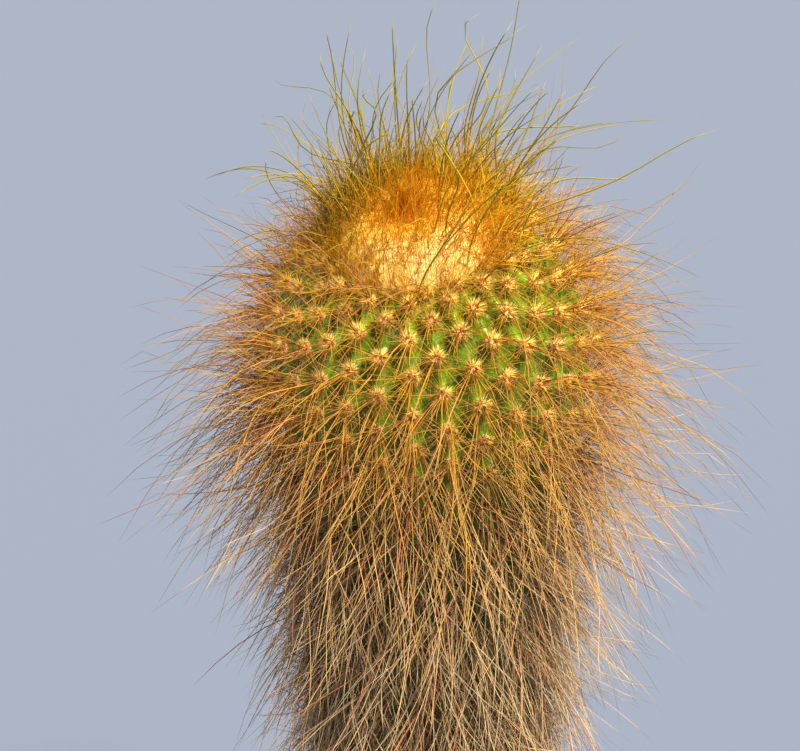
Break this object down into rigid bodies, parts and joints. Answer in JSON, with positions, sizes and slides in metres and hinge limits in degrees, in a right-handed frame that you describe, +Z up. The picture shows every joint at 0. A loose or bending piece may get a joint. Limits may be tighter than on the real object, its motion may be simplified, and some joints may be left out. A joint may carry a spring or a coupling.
{
  "type": "potted golden ball cactus",
  "caption": "Ribbed cactus with a ball head on a narrower column, a leaning crown of golden wool and long bristly spines, in gritty soil in a plain clay pot.",
  "frame": {"origin": "centre of the pot's underside, on the surface that it stands on", "axes": "+Z up along the stem; the side shown in the picture faces -Y, and the crown leans mostly towards it; +X is to the picture's right"},
  "size_m": [0.1547, 0.1589, 0.3477],
  "materials": {
    "clay": "unglazed, matt, fired clay",
    "soil": "dark gritty potting mix",
    "stem": "green skin under tan, rust and straw spines",
    "crown": "cream and golden wool with amber spines"
  },
  "bodies": {
    "root": {"pot": "clay", "soil": "soil", "stem": "stem", "crown": "crown"}
  },
  "joints": []
}
